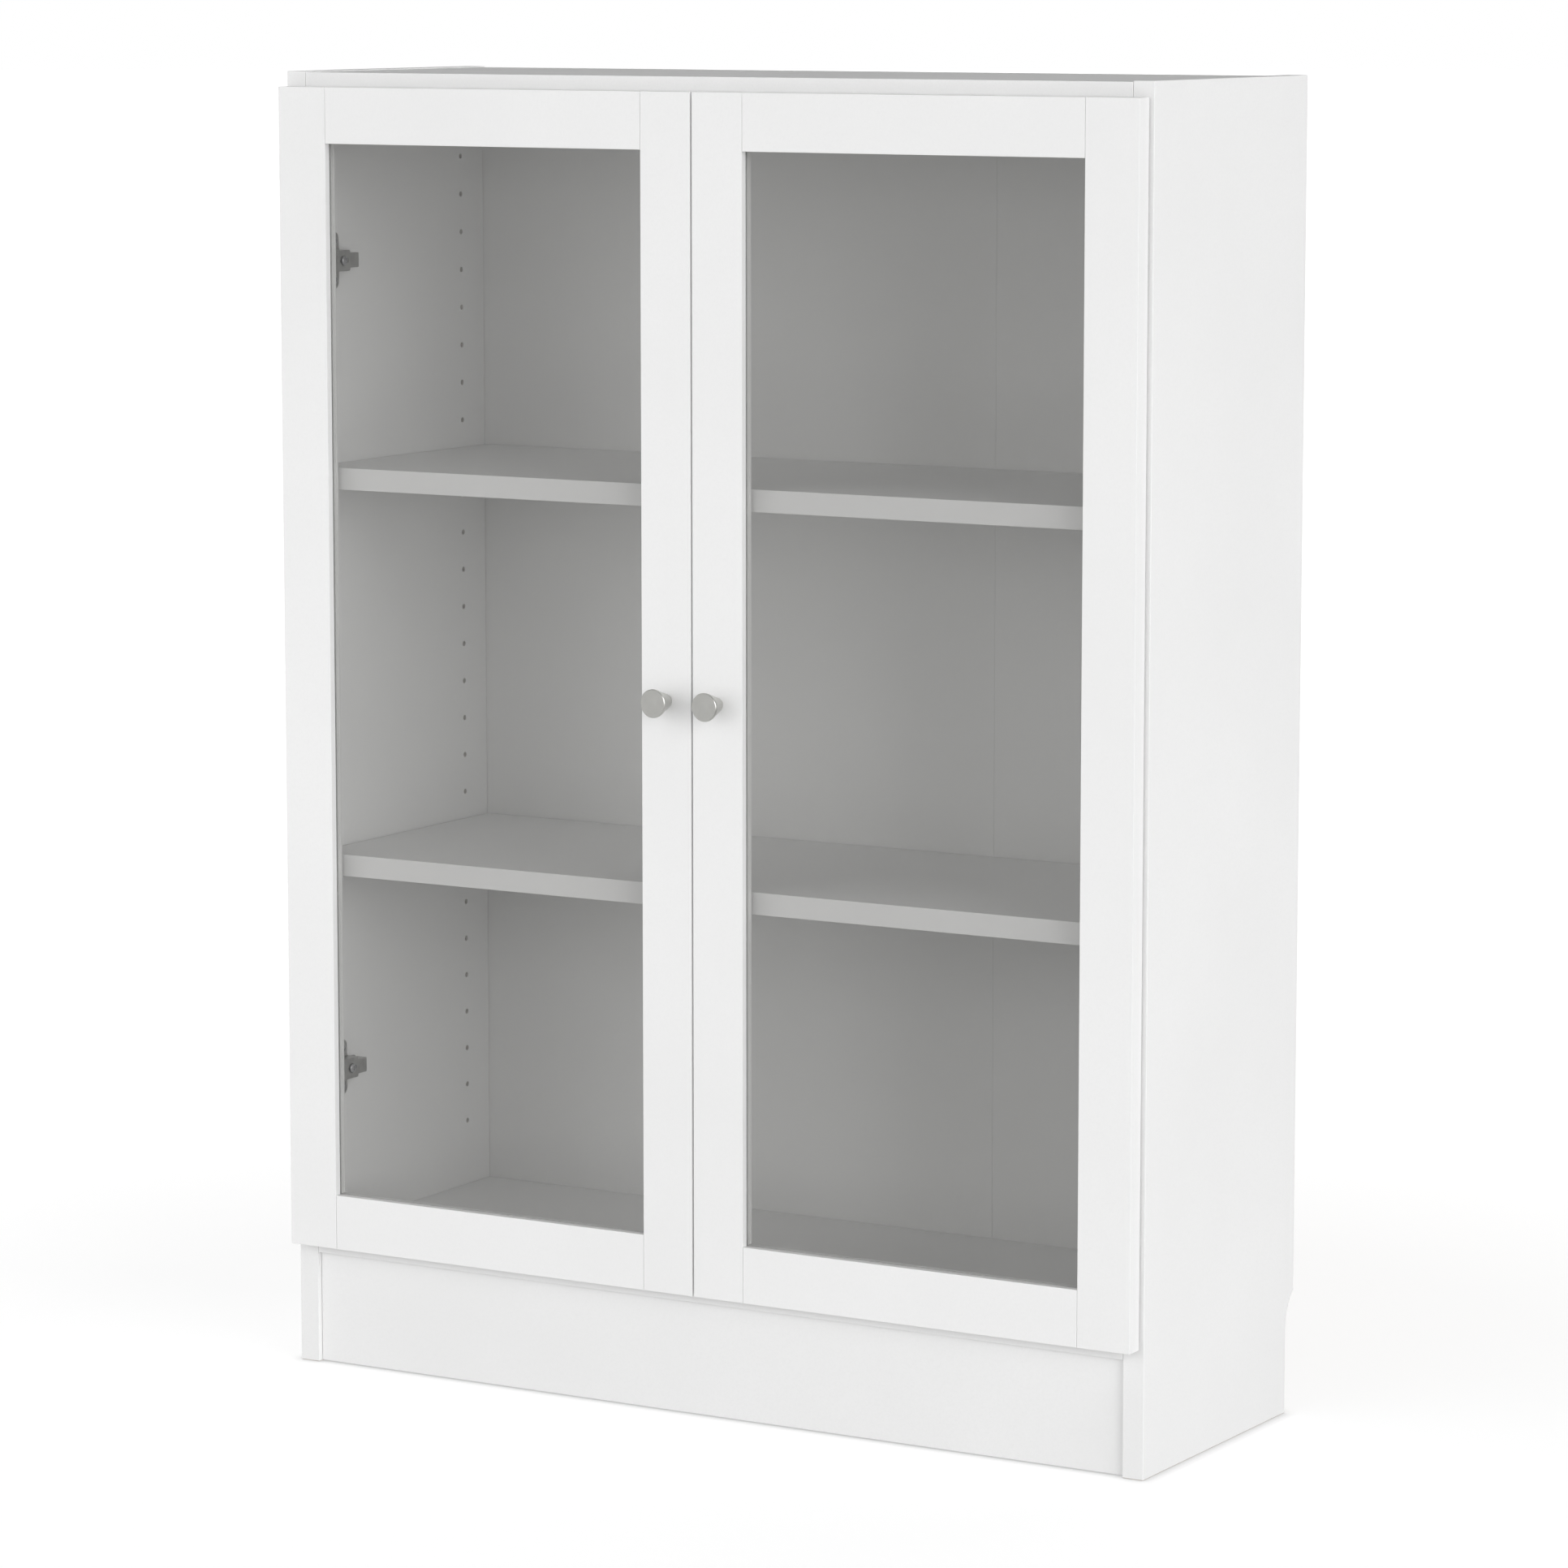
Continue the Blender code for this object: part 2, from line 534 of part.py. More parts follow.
# ---------------------------------------------------------------- doors
def door(side):
    """One framed glass door, hung on its outer stile. side is -1 for left, 1 for right."""
    label = "left" if side < 0 else "right"
    outer = side * (WIDTH / 2 - DOOR_INSET)
    inner = side * DOOR_SPLIT / 2
    open_outer = outer - side * MEMBER
    open_inner = inner + side * MEMBER
    open_low, open_high = DOOR_BOTTOM + MEMBER, DOOR_TOP - MEMBER
    lever_axis = pivot(f"{label}_lever_axis", inward(side, ARM_PIVOT[0]), ARM_PIVOT[1], 0)
    axis = pivot(f"{label}_door_axis", inward(side, CUP_PIVOT[0]), CUP_PIVOT[1], 0)
    name = f"door_{label}_"

    def rebated(obj):
        bm = bmesh.new()
        x0, x1 = sorted((open_outer + side * GLASS_REBATE, open_inner - side * GLASS_REBATE))
        box_into(
            bm, x0, x1, DOOR_FRONT + LIP, DOOR_BACK + 2.0, open_low - GLASS_REBATE, open_high + GLASS_REBATE
        )
        boolean(obj, helper(bm, "cutter_rebate_" + obj.name))
        return obj

    outer_stile = box(
        name + "outer_stile", outer, open_outer, DOOR_FRONT, DOOR_BACK, DOOR_BOTTOM, DOOR_TOP,
        WHITE_DOOR, axis, bevel=0.8,
    )
    rebated(outer_stile)
    bm = bmesh.new()
    for z in HINGE_HEIGHTS:
        middle = inward(side, -BOARD + DOOR_INSET + CUP_EDGE + CUP_R)
        rod_into(bm, (middle, DOOR_BACK, z), "Y", CUP_R + GAP, -CUP_DEEP - GAP, 3.0, 28)
    boolean(outer_stile, helper(bm, "cutter_cups_" + label))

    inner_stile = box(
        name + "inner_stile", inner, open_inner, DOOR_FRONT, DOOR_BACK, DOOR_BOTTOM, DOOR_TOP,
        WHITE_DOOR, axis, bevel=0.8,
    )
    rebated(inner_stile)
    knob_x = inner + side * KNOB_FROM_EDGE
    knob_z = (DOOR_TOP + DOOR_BOTTOM) / 2
    bm = bmesh.new()
    rod_into(bm, (knob_x, DOOR_FRONT, knob_z), "Y", KNOB_BORE_R, -2.0, DOOR_T + 2.0, 12)
    boolean(inner_stile, helper(bm, "cutter_knob_screw_" + label))

    x0, x1 = sorted((open_outer, open_inner))
    for which, low, high in (
        ("top_rail", open_high, DOOR_TOP),
        ("bottom_rail", DOOR_BOTTOM, open_low),
    ):
        rail = box(
            name + which, x0 + GAP, x1 - GAP, DOOR_FRONT, DOOR_BACK, low, high, WHITE_DOOR, axis, bevel=0.5
        )
        rebated(rail)

    glass_front = DOOR_FRONT + LIP + GAP
    box(
        name + "glass",
        x0 - GLASS_LAP,
        x1 + GLASS_LAP,
        glass_front,
        glass_front + GLASS_T,
        open_low - GLASS_LAP,
        open_high + GLASS_LAP,
        CLEAR_GLASS,
        axis,
    )

    front = glass_front + GLASS_T + GAP
    step, back = front + BEAD_STEP, DOOR_BACK - 0.2
    reach = GLASS_REBATE - GAP

    def bead_section(edge, away):
        """Section of a bead lying against the frame: edge is the opening's edge and away points into the frame."""
        return [
            (edge + away * reach, front),
            (edge, front),
            (edge, step),
            (edge + away * BEAD_SETBACK, step),
            (edge + away * BEAD_SETBACK, back),
            (edge + away * reach, back),
        ]

    for which, edge, away in (("bead_bottom", open_low, -1), ("bead_top", open_high, 1)):
        section = [(y, z) for z, y in bead_section(edge, away)]
        prism(name + which, section, x0 - reach, x1 + reach, "X", WHITE_BEAD, axis)
    for which, edge, away in (("bead_outer", open_outer, side), ("bead_inner", open_inner, -side)):
        prism(
            name + which, bead_section(edge, away), open_low + GAP, open_high - GAP, "Z", WHITE_BEAD, axis
        )

    knob_profile = [
        (0, -10.0),
        (KNOB_BORE_R, -10.0),
        (KNOB_BORE_R, -GAP),
        (KNOB_BASE_R - 0.4, -GAP),
        (KNOB_BASE_R, -0.8),
        (KNOB_R, -KNOB_OUT + 1.6),
        (KNOB_R, -KNOB_OUT + 0.5),
        (KNOB_R - 0.5, -KNOB_OUT),
        (0, -KNOB_OUT),
    ]
    turned(name + "knob", (knob_x, DOOR_FRONT, knob_z), "Y", knob_profile, 32, NICKEL, axis)
    screw_profile = [
        (0, -8.5),
        (1.9, -8.5),
        (1.9, DOOR_T + GAP),
        (4.2, DOOR_T + GAP),
        (4.2, DOOR_T + 1.4),
        (3.0, DOOR_T + 2.3),
        (0, DOOR_T + 2.5),
    ]
    turned(name + "knob_screw", (knob_x, DOOR_FRONT, knob_z), "Y", screw_profile, 16, PIN_STEEL, axis)

    for z, where in zip(HINGE_HEIGHTS, ("lower", "upper")):
        tag = f"hinge_{label}_{where}_"
        hinge_plate(tag + "plate", side, z)
        hinge_arm(tag + "arm", side, z)
        arm_screw(tag + "screw", side, z)
        lever(tag + "lever", side, z, lever_axis)
        hinge_cup(tag + "cup", side, z, axis)


for which in (-1, 1):
    door(which)
bpy.context.view_layer.update()
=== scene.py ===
import json
import math

import bmesh
import bpy
from mathutils import Matrix, Vector

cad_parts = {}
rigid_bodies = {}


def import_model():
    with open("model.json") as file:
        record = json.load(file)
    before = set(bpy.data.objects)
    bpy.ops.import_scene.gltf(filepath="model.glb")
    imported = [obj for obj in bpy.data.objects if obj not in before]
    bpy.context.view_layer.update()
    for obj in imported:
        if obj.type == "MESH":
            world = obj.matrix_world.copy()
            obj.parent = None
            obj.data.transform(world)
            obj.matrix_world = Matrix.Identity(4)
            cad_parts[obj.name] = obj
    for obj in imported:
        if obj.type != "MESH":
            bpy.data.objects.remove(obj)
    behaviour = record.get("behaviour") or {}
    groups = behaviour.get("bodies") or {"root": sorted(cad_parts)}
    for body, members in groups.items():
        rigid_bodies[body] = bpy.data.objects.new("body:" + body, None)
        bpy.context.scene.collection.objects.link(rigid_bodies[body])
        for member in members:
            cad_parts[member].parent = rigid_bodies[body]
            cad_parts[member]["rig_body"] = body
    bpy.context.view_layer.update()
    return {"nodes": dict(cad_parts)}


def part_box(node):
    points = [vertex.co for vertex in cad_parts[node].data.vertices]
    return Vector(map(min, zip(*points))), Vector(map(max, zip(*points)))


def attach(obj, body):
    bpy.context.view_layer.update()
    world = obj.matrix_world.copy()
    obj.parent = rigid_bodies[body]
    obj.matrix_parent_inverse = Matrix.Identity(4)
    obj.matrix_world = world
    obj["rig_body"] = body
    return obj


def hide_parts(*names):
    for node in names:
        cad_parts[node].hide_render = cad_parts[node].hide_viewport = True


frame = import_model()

# The looks of the two-door glazed bookcase: boards with rounded, foil-wrapped edges, framed glass
# doors, turned metal knobs and concealed hinges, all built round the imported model's own boxes.

BODY_OF = {name: obj["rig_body"] for name, obj in frame["nodes"].items()}
MM = 0.001
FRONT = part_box("side_panel_left")[0].y  # the plane of the carcass's front edges
SIDES = ((-1, "left"), (1, "right"))


# ---------------------------------------------------------------- places
def at(x, y, z):
    """A point given in millimetres: x from the middle, y back from the carcass's front edges, z up from the floor."""
    return Vector((x * MM, FRONT + y * MM, z * MM))


def limits(node):
    """x0, x1, y0, y1, z0, z1 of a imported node, in the same millimetres."""
    low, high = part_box(node)
    return (
        low.x / MM,
        high.x / MM,
        (low.y - FRONT) / MM,
        (high.y - FRONT) / MM,
        low.z / MM,
        high.z / MM,
    )


# ---------------------------------------------------------------- materials
def node(tree, kind, **values):
    made = tree.nodes.new(kind)
    for key, value in values.items():
        setattr(made, key, value)
    return made


def start(name):
    mat = bpy.data.materials.new(name)
    mat.use_nodes = True
    tree = mat.node_tree
    return mat, tree, tree.nodes["Principled BSDF"]


def noise(tree, coords, scale, detail=2.0, rough=0.5, stretch=None, distortion=0.0):
    made = node(tree, "ShaderNodeTexNoise")
    made.inputs["Scale"].default_value = scale
    made.inputs["Detail"].default_value = detail
    made.inputs["Roughness"].default_value = rough
    made.inputs["Distortion"].default_value = distortion
    source = coords
    if stretch:
        mapping = node(tree, "ShaderNodeMapping")
        mapping.inputs["Scale"].default_value = stretch
        tree.links.new(coords, mapping.inputs["Vector"])
        source = mapping.outputs["Vector"]
    tree.links.new(source, made.inputs["Vector"])
    return made.outputs["Fac"]


def ramp(tree, factor, stops):
    made = node(tree, "ShaderNodeValToRGB")
    elements = made.color_ramp.elements
    while len(elements) > 1:
        elements.remove(elements[-1])
    elements[0].position, elements[0].color = stops[0][0], (*stops[0][1], 1.0)
    for position, colour in stops[1:]:
        element = elements.new(position)
        element.color = (*colour, 1.0)
    tree.links.new(factor, made.inputs["Fac"])
    return made.outputs["Color"]


def spread(tree, value, low, high, from_low=0.3, from_high=0.7):
    made = node(tree, "ShaderNodeMapRange")
    made.inputs["From Min"].default_value = from_low
    made.inputs["From Max"].default_value = from_high
    made.inputs["To Min"].default_value = low
    made.inputs["To Max"].default_value = high
    tree.links.new(value, made.inputs["Value"])
    return made.outputs["Result"]


def mixed(tree, factor, first, second, blend="MIX"):
    made = node(tree, "ShaderNodeMix", data_type="RGBA", blend_type=blend)
    for socket, value in ((made.inputs[0], factor), (made.inputs[6], first), (made.inputs[7], second)):
        if isinstance(value, bpy.types.NodeSocket):
            tree.links.new(value, socket)
        elif isinstance(value, tuple):
            socket.default_value = (*value, 1.0)
        else:
            socket.default_value = value
    return made.outputs[2]


def bump(tree, height, strength, distance, normal=None):
    made = node(tree, "ShaderNodeBump")
    made.inputs["Strength"].default_value = strength
    made.inputs["Distance"].default_value = distance
    tree.links.new(height, made.inputs["Height"])
    if normal:
        tree.links.new(normal, made.inputs["Normal"])
    return made.outputs["Normal"]


def foil(name, colour, rough, grain=(1.0, 1.0, 1.0), texture=1.0):
    """White melamine or foil: a very fine pored grain, faint tone changes and slightly uneven gloss."""
    mat, tree, shader = start(name)
    coords = node(tree, "ShaderNodeTexCoord").outputs["Object"]
    clouds = noise(tree, coords, 5.0, 3.0, 0.55)
    speckle = noise(tree, coords, 620.0, 3.0, 0.6, grain)
    dark = tuple(c * 0.962 for c in colour)
    light = tuple(min(1.0, c * 1.018) for c in colour)
    tone = ramp(tree, clouds, [(0.3, tuple(c * 0.986 for c in colour)), (0.7, light)])
    tree.links.new(
        mixed(tree, spread(tree, speckle, 0.0, 0.5 * texture, 0.42, 0.72), tone, dark),
        shader.inputs["Base Color"],
    )
    tree.links.new(spread(tree, speckle, rough - 0.05, rough + 0.07), shader.inputs["Roughness"])
    shader.inputs["IOR"].default_value = 1.46
    shader.inputs["Specular IOR Level"].default_value = 0.42
    pores = noise(tree, coords, 1500.0, 2.0, 0.5, grain)
    fine = bump(tree, pores, 0.10 * texture, 0.00008)
    tree.links.new(bump(tree, speckle, 0.10 * texture, 0.00018, fine), shader.inputs["Normal"])
    return mat


def chipboard(name, pale=0.0):
    """The bare core of a board, where it is cut: pressed chips of several browns. Pale adds the white dust of drilling."""

    def dusted(*colour):
        return tuple(c + (0.80 - c) * pale for c in colour)

    mat, tree, shader = start(name)
    coords = node(tree, "ShaderNodeTexCoord").outputs["Object"]
    cells = node(tree, "ShaderNodeTexVoronoi", feature="F1")
    cells.inputs["Scale"].default_value = 520.0
    cells.inputs["Randomness"].default_value = 1.0
    flattened = node(tree, "ShaderNodeMapping")
    flattened.inputs["Scale"].default_value = (1.0, 0.45, 0.45)
    tree.links.new(coords, flattened.inputs["Vector"])
    tree.links.new(flattened.outputs["Vector"], cells.inputs["Vector"])
    split = node(tree, "ShaderNodeSeparateColor")
    tree.links.new(cells.outputs["Color"], split.inputs["Color"])
    chips = ramp(
        tree,
        split.outputs[0],
        [
            (0.0, dusted(0.20, 0.12, 0.06)),
            (0.2, dusted(0.38, 0.25, 0.14)),
            (0.6, dusted(0.52, 0.37, 0.22)),
            (1.0, dusted(0.66, 0.50, 0.33)),
        ],
    )
    dust = noise(tree, coords, 900.0, 4.0, 0.65)
    tree.links.new(
        mixed(tree, spread(tree, dust, 0.0, 0.55), chips, dusted(0.45, 0.32, 0.19)), shader.inputs["Base Color"]
    )
    tree.links.new(spread(tree, dust, 0.78, 0.95), shader.inputs["Roughness"])
    pits = bump(tree, cells.outputs["Distance"], 0.35, 0.0004)
    tree.links.new(bump(tree, dust, 0.3, 0.0003, pits), shader.inputs["Normal"])
    return mat


def hardboard(name):
    """The bare rear face of the thin back: brown pressed fibre with a faint screen pattern."""
    mat, tree, shader = start(name)
    coords = node(tree, "ShaderNodeTexCoord").outputs["Object"]
    patches = noise(tree, coords, 9.0, 4.0, 0.6)
    fibres = noise(tree, coords, 260.0, 5.0, 0.7, (1.0, 1.0, 0.35))
    tone = ramp(
        tree, patches, [(0.3, (0.355, 0.235, 0.140)), (0.55, (0.400, 0.270, 0.165)), (0.75, (0.440, 0.305, 0.190))]
    )
    streaks = ramp(
        tree, fibres, [(0.35, (0.300, 0.195, 0.115)), (0.5, (0.410, 0.280, 0.172)), (0.7, (0.500, 0.360, 0.235))]
    )
    tree.links.new(mixed(tree, 0.5, tone, streaks), shader.inputs["Base Color"])
    screen = None
    for axis in ("X", "Z"):
        wave = node(tree, "ShaderNodeTexWave", bands_direction=axis, wave_profile="SIN")
        wave.inputs["Scale"].default_value = 110.0
        tree.links.new(coords, wave.inputs["Vector"])
        screen = bump(tree, wave.outputs["Fac"], 0.12, 0.0003, screen)
    tree.links.new(bump(tree, fibres, 0.25, 0.0004, screen), shader.inputs["Normal"])
    tree.links.new(spread(tree, fibres, 0.62, 0.85), shader.inputs["Roughness"])
    return mat


def plastic(name, colour, rough):
    """Soft extruded plastic with faint drawing lines."""
    mat, tree, shader = start(name)
    coords = node(tree, "ShaderNodeTexCoord").outputs["Object"]
    clouds = noise(tree, coords, 30.0, 3.0)
    fine = noise(tree, coords, 1400.0, 2.0)
    tree.links.new(
        ramp(tree, clouds, [(0.3, tuple(c * 0.97 for c in colour)), (0.7, colour)]), shader.inputs["Base Color"]
    )
    tree.links.new(spread(tree, fine, rough - 0.05, rough + 0.08), shader.inputs["Roughness"])
    tree.links.new(bump(tree, fine, 0.12, 0.0001), shader.inputs["Normal"])
    return mat


def metal(name, light, dark, rough, grain=900.0, stretch=None, strength=0.12):
    """Plated or brushed metal: tone and gloss vary along the grain."""
    mat, tree, shader = start(name)
    coords = node(tree, "ShaderNodeTexCoord").outputs["Object"]
    lines = noise(tree, coords, grain, 3.0, 0.6, stretch)
    clouds = noise(tree, coords, 60.0, 3.0, 0.6)
    blotch = mixed(tree, spread(tree, clouds, 0.0, 1.0), dark, light)
    tree.links.new(mixed(tree, spread(tree, lines, 0.0, 0.35), blotch, dark), shader.inputs["Base Color"])
    shader.inputs["Metallic"].default_value = 1.0
    tree.links.new(spread(tree, lines, rough - 0.07, rough + 0.1), shader.inputs["Roughness"])
    tree.links.new(bump(tree, lines, strength, 0.00006), shader.inputs["Normal"])
    return mat


def turned_metal(name, light, dark, rough):
    """Satin metal finished on a lathe: fine rings round the piece's own axis, which runs along Y."""
    mat, tree, shader = start(name)
    coords = node(tree, "ShaderNodeTexCoord").outputs["Object"]
    flat = node(tree, "ShaderNodeMapping")
    flat.inputs["Scale"].default_value = (1.0, 0.0, 1.0)
    tree.links.new(coords, flat.inputs["Vector"])
    length = node(tree, "ShaderNodeVectorMath", operation="LENGTH")
    tree.links.new(flat.outputs["Vector"], length.inputs[0])
    split = node(tree, "ShaderNodeSeparateXYZ")
    tree.links.new(coords, split.inputs[0])
    joined = node(tree, "ShaderNodeCombineXYZ")
    tree.links.new(length.outputs["Value"], joined.inputs[0])
    tree.links.new(split.outputs["Y"], joined.inputs[1])
    rings = noise(tree, joined.outputs[0], 2600.0, 3.0, 0.65)
    clouds = noise(tree, coords, 90.0, 3.0, 0.6)
    blotch = mixed(tree, spread(tree, clouds, 0.0, 1.0), dark, light)
    tree.links.new(mixed(tree, spread(tree, rings, 0.0, 0.25), blotch, dark), shader.inputs["Base Color"])
    shader.inputs["Metallic"].default_value = 1.0
    tree.links.new(spread(tree, rings, rough - 0.03, rough + 0.05), shader.inputs["Roughness"])
    tree.links.new(bump(tree, rings, 0.05, 0.00003), shader.inputs["Normal"])
    return mat


def glass(name):
    """Clear float glass with a faint grey tint. Light that falls on what is behind it passes straight through."""
    mat, tree, shader = start(name)
    coords = node(tree, "ShaderNodeTexCoord").outputs["Object"]
    shader.inputs["Base Color"].default_value = (0.790, 0.790, 0.786, 1.0)
    shader.inputs["Roughness"].default_value = 0.0
    shader.inputs["IOR"].default_value = 1.45
    shader.inputs["Transmission Weight"].default_value = 1.0
    ripple = noise(tree, coords, 7.0, 1.0)
    tree.links.new(bump(tree, ripple, 0.02, 0.0002), shader.inputs["Normal"])
    clear = node(tree, "ShaderNodeBsdfTransparent")
    clear.inputs["Color"].default_value = (0.85, 0.849, 0.845, 1.0)
    path = node(tree, "ShaderNodeLightPath")
    either = node(tree, "ShaderNodeMath", operation="MAXIMUM")
    tree.links.new(path.outputs["Is Shadow Ray"], either.inputs[0])
    tree.links.new(path.outputs["Is Diffuse Ray"], either.inputs[1])
    mix = node(tree, "ShaderNodeMixShader")
    tree.links.new(either.outputs[0], mix.inputs[0])
    tree.links.new(shader.outputs[0], mix.inputs[1])
    tree.links.new(clear.outputs[0], mix.inputs[2])
    tree.links.new(mix.outputs[0], tree.nodes["Material Output"].inputs["Surface"])
    return mat


FOIL = foil("carcass_foil", (0.876, 0.876, 0.874), 0.46)
DOOR_FOIL = foil("door_foil", (0.890, 0.890, 0.888), 0.42, (1.0, 1.0, 0.6), 0.8)
BACK_FOIL = foil("back_foil", (0.830, 0.830, 0.826), 0.55, (1.0, 1.0, 1.0), 1.2)
CORE = chipboard("bare_chipboard")
DRILLED = chipboard("drilled_chipboard", 0.85)
REAR = hardboard("bare_hardboard")
BEAD = plastic("bead_plastic_white", (0.80, 0.80, 0.795), 0.45)
NICKEL = turned_metal("satin_nickel", (0.63, 0.628, 0.602), (0.58, 0.578, 0.554), 0.37)
STEEL = metal("plated_steel", (0.58, 0.58, 0.57), (0.42, 0.42, 0.41), 0.34)
ZINC = metal("zinc_plated_steel", (0.66, 0.66, 0.67), (0.50, 0.50, 0.52), 0.36)
GLASS = glass("clear_float_glass")


# ---------------------------------------------------------------- shapes
def made(name, bm, *mats):
    """An object from a bmesh in world coordinates."""
    bmesh.ops.recalc_face_normals(bm, faces=bm.faces)
    mesh = bpy.data.meshes.new(name)
    bm.to_mesh(mesh)
    bm.free()
    obj = bpy.data.objects.new(name, mesh)
    bpy.context.scene.collection.objects.link(obj)
    for mat in mats:
        mesh.materials.append(mat)
    return obj


def settle(obj):
    """Applies the modifiers, so that the mesh itself is final."""
    bpy.context.view_layer.update()
    graph = bpy.context.evaluated_depsgraph_get()
    mesh = bpy.data.meshes.new_from_object(obj.evaluated_get(graph))
    obj.modifiers.clear()
    old, obj.data = obj.data, mesh
    mesh.name = obj.name
    bpy.data.meshes.remove(old)
    return obj


def cut(obj, *shapes, operation="DIFFERENCE", mat=None):
    """Cuts bmesh shapes out of an object, or joins them to it. The cut faces take mat if one is given."""
    helpers = []
    for i, bm in enumerate(shapes):
        other = made(f"{obj.name}_helper_{i}", bm, *([mat] if mat else []))
        mod = obj.modifiers.new("cut", "BOOLEAN")
        mod.operation, mod.solver, mod.object = operation, "EXACT", other
        if mat:
            mod.material_mode = "TRANSFER"
        helpers.append(other)
    settle(obj)
    for other in helpers:
        mesh = other.data
        bpy.data.objects.remove(other)
        bpy.data.meshes.remove(mesh)
    return obj


def rounded(obj, width, segments=3, angle=40):
    mod = obj.modifiers.new("edge_round", "BEVEL")
    mod.width, mod.segments = width * MM, segments
    mod.limit_method, mod.angle_limit = "ANGLE", math.radians(angle)
    return settle(obj)


def smooth(obj, angle=35, flat_faces=True):
    obj.data.shade_smooth()
    obj.data.set_sharp_from_angle(angle=math.radians(angle))
    if flat_faces:
        mod = obj.modifiers.new("flat_faces", "WEIGHTED_NORMAL")
        mod.keep_sharp, mod.weight = True, 60
    return obj


def centred(obj, x, y, z):
    """Moves the object's own origin to a point without moving its shape."""
    obj.data.transform(Matrix.Translation(-at(x, y, z)))
    obj.location = at(x, y, z)
    return obj


def finished(obj, node_name):
    """The piece rides with the node it stands for and takes its place."""
    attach(obj, BODY_OF[node_name])
    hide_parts(node_name)
    return obj


def block(x0, x1, y0, y1, z0, z1):
    x0, x1 = sorted((x0, x1))
    bm = bmesh.new()
    verts = [bm.verts.new(at(x, y, z)) for z in (z0, z1) for y in (y0, y1) for x in (x0, x1)]
    for face in ((0, 2, 3, 1), (4, 5, 7, 6), (0, 1, 5, 4), (2, 6, 7, 3), (0, 4, 6, 2), (1, 3, 7, 5)):
        bm.faces.new([verts[i] for i in face])
    return bm


def prism(outline, low, high, axis):
    """An outline pushed along an axis. It is (y, z) along X, (x, z) along Y or (x, y) along Z."""
    bm = bmesh.new()
    rings = []
    for level in (low, high):
        ring = []
        for a, b in outline:
            ring.append(bm.verts.new(at(*{"X": (level, a, b), "Y": (a, level, b), "Z": (a, b, level)}[axis])))
        rings.append(ring)
    bm.faces.new(rings[0])
    bm.faces.new(rings[1][::-1])
    for i in range(len(outline)):
        j = (i + 1) % len(outline)
        bm.faces.new((rings[0][j], rings[0][i], rings[1][i], rings[1][j]))
    bmesh.ops.recalc_face_normals(bm, faces=bm.faces)
    return bm


def lathe(centre, axis, profile, sides, into=None):
    """Turns (radius, distance along the axis) pairs round an axis through centre."""
    bm = into or bmesh.new()
    x, y, z = centre
    rings = []
    for radius, along in profile:
        ring = []
        for i in range(sides if radius > 0 else 1):
            a = 2 * math.pi * (i + 0.5) / sides
            p, q = radius * math.cos(a), radius * math.sin(a)
            spot = {"X": (x + along, y + p, z + q), "Y": (x + p, y + along, z + q), "Z": (x + p, y + q, z + along)}
            ring.append(bm.verts.new(at(*spot[axis])))
        rings.append(ring)
    for lower, upper in zip(rings, rings[1:]):
        for i in range(sides):
            j = (i + 1) % sides
            if len(lower) == 1:
                bm.faces.new((lower[0], upper[i], upper[j]))
            elif len(upper) == 1:
                bm.faces.new((lower[i], lower[j], upper[0]))
            else:
                bm.faces.new((lower[i], lower[j], upper[j], upper[i]))
    return bm


def rod(centre, axis, radius, low, high, sides=32, into=None):
    return lathe(centre, axis, [(0, low), (radius, low), (radius, high), (0, high)], sides, into)


def arc(cx, cy, radius, first, last, steps):
    """Points on an arc, with the angles in degrees."""
    return [
        (
            cx + radius * math.cos(math.radians(first + (last - first) * i / steps)),
            cy + radius * math.sin(math.radians(first + (last - first) * i / steps)),
        )
        for i in range(steps + 1)
    ]


def repaint(obj, index, test):
    """Gives the faces that pass the test another of the object's materials."""
    for face in obj.data.polygons:
        if test(face):
            face.material_index = index


# ---------------------------------------------------------------- carcass
PIN_ROWS, PIN_TOP, PIN_PITCH, PIN_COUNT = (37.0, 228.0), 999.0, 32.0, 27
INNER = abs(limits("side_panel_left")[1])


def side_panel(side, label):
    name = "side_panel_" + label
    x0, x1, y0, y1, z0, z1 = limits(name)
    notch, straight, radius = 13.9, 69.0, 40.0
    reach = math.degrees(math.acos(1 - notch / radius))
    curve = arc(y1 - notch + radius, straight, radius, 180.0, 180.0 - reach, 14)
    outline = [(y0, z0), (y1 - notch, z0), *curve, (y1, z1), (y0, z1)]
    panel = made(name + "_board", prism(outline, x0, x1, "X"), FOIL, CORE)
    rounded(panel, 0.45, 3)
    repaint(panel, 1, lambda f: f.normal.y > 0.6 or f.normal.z < -0.6)
    rebate = block(side * (INNER - 2), side * (INNER + 9.0), 262.1, y1 + 2, 100.5, 1072.9)
    holes = bmesh.new()
    for row in PIN_ROWS:
        for n in range(PIN_COUNT):
            low, high = sorted((-side * 2.0, side * 7.0))
            rod((side * INNER, row, PIN_TOP - PIN_PITCH * n), "X", 2.25, low, high, 20, holes)
    bmesh.ops.recalc_face_normals(holes, faces=holes.faces)
    cut(panel, rebate, mat=CORE)
    cut(panel, holes, mat=DRILLED)
    finished(smooth(panel), name)


def plain_board(node_name, mats, edge=0.4, segments=3):
    board = made(node_name + "_board", block(*limits(node_name)), *mats)
    rounded(board, edge, segments)
    finished(smooth(board), node_name)
    return board


